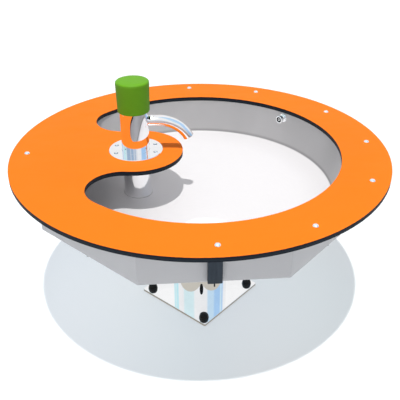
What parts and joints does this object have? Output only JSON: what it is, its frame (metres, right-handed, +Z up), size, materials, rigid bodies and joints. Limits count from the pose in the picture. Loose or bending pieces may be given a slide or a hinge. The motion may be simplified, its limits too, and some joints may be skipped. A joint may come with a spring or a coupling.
{
  "type": "water play table",
  "caption": "Fixed outdoor water-play table: round orange board ring with a tap peninsula over a steel basin, octagonal skirt, single polished leg and a spring-return push cap.",
  "frame": {"origin": "on the ground at the centre of the leg and base plate", "axes": "+Z up; the tap post stands on the -X side and the spout points to +X; the covered skirt seam faces -Y"},
  "size_m": [1.1998, 1.2, 0.808],
  "materials": {
    "board_core": "satin compact board edge, charcoal",
    "orange_facing": "fine satin laminate facing, orange",
    "satin_steel": "satin stainless sheet",
    "polished_steel": "mirror-polished stainless",
    "fastener_steel": "plain stainless fastener",
    "welded_steel": "pickled stainless structure",
    "brass": "turned brass",
    "green_cap": "semi-gloss moulded green plastic",
    "black_plastic": "satin black plastic",
    "cover_board": "satin charcoal board",
    "waste_plastic": "grey plastic pipe",
    "rubber": "matte black rubber",
    "hose": "braided steel hose cover",
    "spring_steel": "drawn spring wire",
    "bearing_plastic": "white bearing plastic"
  },
  "bodies": {
    "table": {"table_core": "board_core", "table_decor": "orange_facing", "ring_bolts": "polished_steel", "ring_nuts": "fastener_steel", "rim_flange": "welded_steel", "skirt_panel": "satin_steel", "seam_cover": "cover_board", "seam_seal": "rubber", "seam_screws": "fastener_steel", "basin_bowl": "satin_steel", "drain_body": "fastener_steel", "drain_strainer": "polished_steel", "strainer_screw": "fastener_steel", "drain_seal": "rubber", "drain_nut": "brass", "waste_coupling": "black_plastic", "waste_pipe": "waste_plastic", "base_plate": "polished_steel", "leg_tube": "polished_steel", "leg_top_flange": "welded_steel", "support_frame": "welded_steel", "hub_bolts": "fastener_steel", "hub_nuts": "fastener_steel", "hub_washers": "fastener_steel", "anchor_washers": "fastener_steel", "anchor_nuts": "fastener_steel", "anchor_caps": "black_plastic", "post_tube": "polished_steel", "post_flange": "polished_steel", "flange_backing_plate": "welded_steel", "flange_screws": "fastener_steel", "valve_carrier": "welded_steel", "valve_body": "brass", "valve_bonnet": "brass", "stem_o_ring": "rubber", "inlet_fitting": "brass", "return_spring": "spring_steel", "cap_guide_ring": "bearing_plastic", "spout_nipple": "brass", "spout_o_rings": "rubber", "spout_tube": "polished_steel", "spout_set_screw": "black_plastic", "supply_hose": "hose", "hose_ferrules": "fastener_steel", "hose_nut": "fastener_steel", "hose_grommet": "rubber", "waste_grommet": "rubber", "wall_nozzle": "polished_steel", "nozzle_washer": "rubber", "nozzle_nut": "fastener_steel", "nozzle_elbow": "brass", "nozzle_hose": "hose", "nozzle_hose_nut": "fastener_steel"},
    "push_button": {"push_cap": "green_cap", "cap_insert": "brass", "valve_stem": "fastener_steel", "poppet": "brass", "poppet_seal": "rubber"}
  },
  "joints": [
    {"name": "push_button_press", "type": "slide", "parent": "table", "child": "push_button", "axis": [0, 0, -1], "range_m": [0, 0.012], "stiffness_N_per_m": 600, "springref_m": -0.02, "deforming": ["return_spring"]}
  ]
}
